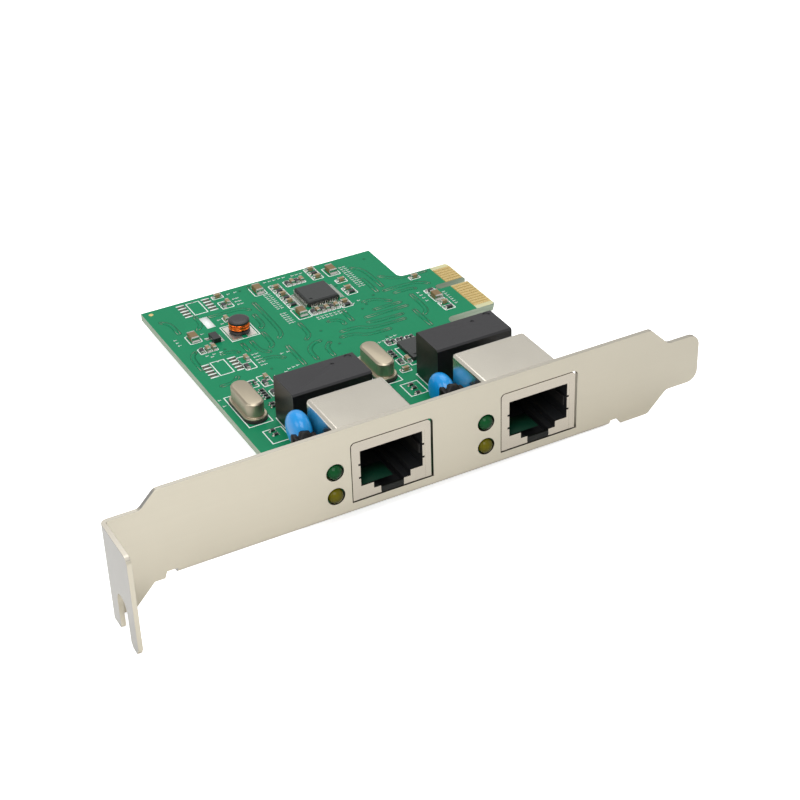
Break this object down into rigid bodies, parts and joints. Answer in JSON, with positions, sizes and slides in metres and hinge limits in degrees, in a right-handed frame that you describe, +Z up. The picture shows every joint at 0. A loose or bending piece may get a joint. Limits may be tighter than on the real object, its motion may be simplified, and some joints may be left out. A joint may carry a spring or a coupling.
{
  "type": "network interface card",
  "caption": "Dual-port wired network interface card for a short expansion slot, full-height bracket, shielded modular jacks, board with edge contacts",
  "frame": {"origin": "Middle of the bottom of the box around the whole card, level with the tip of the bracket's longer prong", "axes": "+X runs along the bracket from the screw tab towards the slot tongue, +Y from the bracket's face into the card, +Z up from the component side of the board"},
  "size_m": [0.12, 0.0936, 0.0231],
  "materials": {
    "nickel_sheet": "satin nickel-plated steel sheet",
    "screw_steel": "zinc-plated",
    "chip_epoxy": "grey-black moulding compound",
    "tinned_lead": "tinned",
    "chip_ceramic": "tan ceramic with tinned ends",
    "resistor_film": "black film with tinned ends",
    "solder_mask": "green solder mask over glass-fibre laminate",
    "crystal_insulator": "black insulator",
    "crystal_metal": "drawn nickel-silver can",
    "disc_coating": "dipped blue epoxy",
    "contact_gold": "gold-plated",
    "ferrite": "dark ferrite",
    "copper_wire": "enamelled copper wire",
    "jack_plastic": "black moulded",
    "jack_shield": "tin-plated thin sheet",
    "green_lens": "tinted clear epoxy",
    "yellow_lens": "tinted clear epoxy",
    "transformer_case": "dark moulded epoxy"
  },
  "bodies": {
    "root": {"bracket": "nickel_sheet", "bracket_screws": "screw_steel", "bridge_chip": "chip_epoxy", "bridge_chip_leads": "tinned_lead", "chip_capacitors": "chip_ceramic", "chip_resistors": "resistor_film", "circuit_board": "solder_mask", "controller_chip_1": "chip_epoxy", "controller_chip_2": "chip_epoxy", "crystal_base_1": "crystal_insulator", "crystal_base_2": "crystal_insulator", "crystal_can_1": "crystal_metal", "crystal_can_2": "crystal_metal", "disc_capacitor_1": "disc_coating", "disc_capacitor_2": "disc_coating", "disc_capacitor_leads_1": "tinned_lead", "disc_capacitor_leads_2": "tinned_lead", "edge_contacts": "contact_gold", "inductor_core": "ferrite", "inductor_winding": "copper_wire", "jack_contacts_1": "contact_gold", "jack_contacts_2": "contact_gold", "jack_insert_1": "jack_plastic", "jack_insert_2": "jack_plastic", "jack_shell_1": "jack_shield", "jack_shell_2": "jack_shield", "large_chip_capacitors": "chip_ceramic", "led_green_1": "green_lens", "led_green_2": "green_lens", "led_leads_1": "tinned_lead", "led_leads_2": "tinned_lead", "led_yellow_1": "yellow_lens", "led_yellow_2": "yellow_lens", "regulator": "chip_epoxy", "regulator_leads": "tinned_lead", "transformer_1": "transformer_case", "transformer_2": "transformer_case", "transformer_pins_1": "tinned_lead", "transformer_pins_2": "tinned_lead"}
  },
  "joints": []
}
